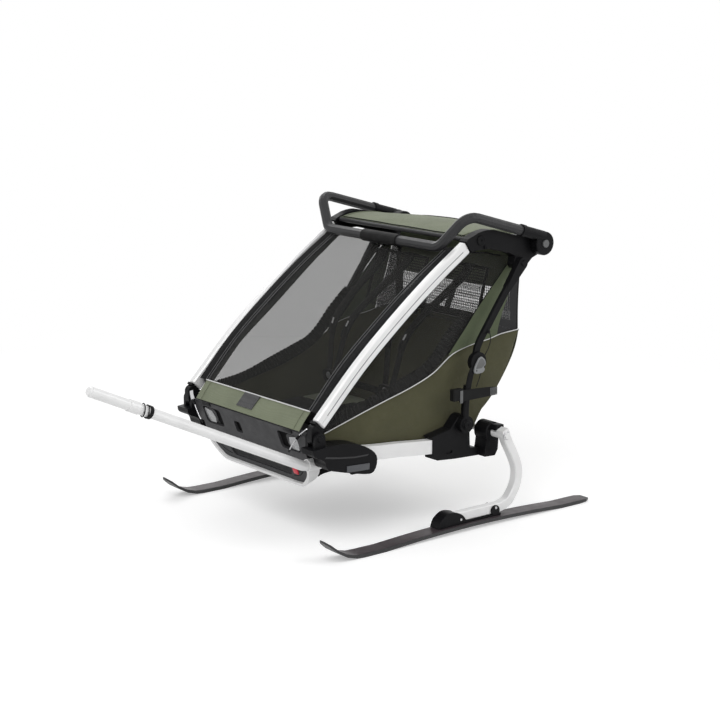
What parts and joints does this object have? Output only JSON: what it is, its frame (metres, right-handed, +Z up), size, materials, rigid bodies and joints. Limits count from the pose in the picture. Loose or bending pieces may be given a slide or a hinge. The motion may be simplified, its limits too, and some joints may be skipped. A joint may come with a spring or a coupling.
{
  "type": "child bike trailer",
  "caption": "Child trailer in ski mode: folding tube frame round a windowed fabric cabin, swinging handlebar, side tow pole, and skis on bent arms under a cross axle.",
  "frame": {"origin": "on the ground, in the middle of the whole outline from the tow pole's end to the skis' tails", "axes": "+Z up, -Y forward along the tow pole, +X towards the trailer's left side, where the tow pole is"},
  "size_m": [0.931, 1.7714, 0.9827],
  "materials": {
    "silver_tube": "satin silver coat",
    "black_plastic": "fine matt grain",
    "dark_panel": "matt moulded",
    "grey_plastic": "matt",
    "red_plastic": "satin",
    "dark_bar": "dark grey powder coat",
    "black_rubber": "matt",
    "ski_top": "dark satin top sheet",
    "olive_fabric": "plain weave",
    "sage_fabric": "plain weave",
    "black_fabric": "plain weave",
    "window_film": "tinted clear film"
  },
  "bodies": {
    "base": {"front_pod_left": "black_plastic", "front_pod_right": "black_plastic", "arch_pivot_bolt_left": "black_plastic", "arch_pivot_bolt_right": "black_plastic", "side_rail_left": "silver_tube", "side_rail_right": "silver_tube", "rear_casting_left": "black_plastic", "rear_casting_right": "black_plastic", "cross_axle": "silver_tube", "axle_hub_left": "black_plastic", "axle_hub_right": "black_plastic", "ski_arm_left": "silver_tube", "ski_arm_right": "silver_tube", "ski_mount_left": "black_plastic", "ski_mount_right": "black_plastic", "ski_left": "ski_top", "ski_right": "ski_top", "front_foot_bar": "silver_tube", "footwell_panel": "dark_panel", "tow_socket": "silver_tube", "cabin_floor": "black_fabric", "rear_panel": "olive_fabric", "side_panel_left": "olive_fabric", "side_panel_right": "olive_fabric", "seat_cushion_left": "black_fabric", "seat_cushion_right": "black_fabric", "seat_back_left": "black_fabric", "seat_back_right": "black_fabric", "harness_left": "black_fabric", "harness_right": "black_fabric"},
    "upper_frame": {"front_arch_left": "silver_tube", "front_arch_right": "silver_tube", "arch_knuckle_left": "black_plastic", "arch_knuckle_right": "black_plastic", "top_beam_left": "black_plastic", "top_beam_right": "black_plastic", "roof_front_tube": "dark_bar", "hub_cross_tube": "dark_bar", "roof_canopy": "sage_fabric", "front_window": "window_film", "window_border": "black_fabric", "front_cover_strip": "sage_fabric"},
    "lower_upright_left": {"lower_upright_left": "black_plastic", "upright_strap_left": "black_rubber"},
    "lower_upright_right": {"lower_upright_right": "black_plastic", "upright_strap_right": "black_rubber"},
    "upper_upright_left": {"upper_upright_left": "black_plastic"},
    "upper_upright_right": {"upper_upright_right": "black_plastic"},
    "fold_latch_left": {"fold_latch_left": "grey_plastic"},
    "fold_latch_right": {"fold_latch_right": "grey_plastic"},
    "handlebar": {"handlebar_tube": "dark_bar", "handlebar_grip": "black_rubber", "handlebar_knuckle_left": "black_plastic", "handlebar_knuckle_right": "black_plastic"},
    "hub_button_left": {"hub_button_left": "grey_plastic"},
    "hub_button_right": {"hub_button_right": "grey_plastic"},
    "tow_pole": {"tow_pole": "silver_tube", "tow_pole_strap": "black_plastic"},
    "tow_pole_outer": {"tow_pole_outer": "silver_tube"},
    "release_button": {"release_button": "red_plastic"}
  },
  "joints": [
    {"name": "frame_fold", "type": "hinge", "parent": "base", "child": "upper_frame", "pos_m": [0, -0.14933, 0.354], "axis": [-1, 0, 0], "range_deg": [0, 26], "deforming": ["side_panel_left", "side_panel_right", "rear_panel", "seat_back_left", "seat_back_right", "harness_left", "harness_right"]},
    {"name": "upper_upright_left_pivot", "type": "hinge", "parent": "upper_frame", "child": "upper_upright_left", "pos_m": [0.363, 0.64817, 0.806], "axis": [-1, 0, 0], "range_deg": [0, 49.4]},
    {"name": "upper_upright_right_pivot", "type": "hinge", "parent": "upper_frame", "child": "upper_upright_right", "pos_m": [-0.363, 0.64817, 0.806], "axis": [-1, 0, 0], "range_deg": [0, 49.4]},
    {"name": "lower_upright_left_pivot", "type": "hinge", "parent": "base", "child": "lower_upright_left", "pos_m": [0.363, 0.41667, 0.3145], "axis": [-1, 0, 0], "range_deg": [-8.9, 0]},
    {"name": "lower_upright_right_pivot", "type": "hinge", "parent": "base", "child": "lower_upright_right", "pos_m": [-0.363, 0.41667, 0.3145], "axis": [-1, 0, 0], "range_deg": [-8.9, 0]},
    {"name": "fold_latch_left_turn", "type": "hinge", "parent": "lower_upright_left", "child": "fold_latch_left", "pos_m": [0.37, 0.46317, 0.51], "axis": [1, 0, 0], "range_deg": [0, 35]},
    {"name": "fold_latch_right_turn", "type": "hinge", "parent": "lower_upright_right", "child": "fold_latch_right", "pos_m": [-0.37, 0.46317, 0.51], "axis": [1, 0, 0], "range_deg": [0, 35]},
    {"name": "handlebar_swing", "type": "hinge", "parent": "upper_frame", "child": "handlebar", "pos_m": [0, 0.73067, 0.863], "axis": [-1, 0, 0], "range_deg": [0, 165]},
    {"name": "hub_button_left_press", "type": "slide", "parent": "handlebar", "child": "hub_button_left", "axis": [-1, 0, 0], "range_m": [0, 0.004], "stiffness_N_per_m": 500, "springref_m": -0.002},
    {"name": "hub_button_right_press", "type": "slide", "parent": "handlebar", "child": "hub_button_right", "axis": [1, 0, 0], "range_m": [0, 0.004], "stiffness_N_per_m": 500, "springref_m": -0.002},
    {"name": "tow_pole_pull", "type": "slide", "parent": "base", "child": "tow_pole", "axis": [0, -1, 0], "range_m": [0, 0.04]},
    {"name": "tow_pole_outer_slide", "type": "slide", "parent": "tow_pole", "child": "tow_pole_outer", "axis": [0, -0.9078, 0.4194], "range_m": [0, 0.04]},
    {"name": "release_button_press", "type": "slide", "parent": "base", "child": "release_button", "axis": [0, 0.9348, 0.3552], "range_m": [0, 0.004], "stiffness_N_per_m": 500, "springref_m": -0.002}
  ],
  "couplings": [
    {"joint": "upper_upright_left_pivot", "follows": "frame_fold", "ratio": 1.8984},
    {"joint": "upper_upright_right_pivot", "follows": "frame_fold", "ratio": 1.8984},
    {"joint": "lower_upright_left_pivot", "follows": "frame_fold", "ratio": -0.3413},
    {"joint": "lower_upright_right_pivot", "follows": "frame_fold", "ratio": -0.3413}
  ]
}
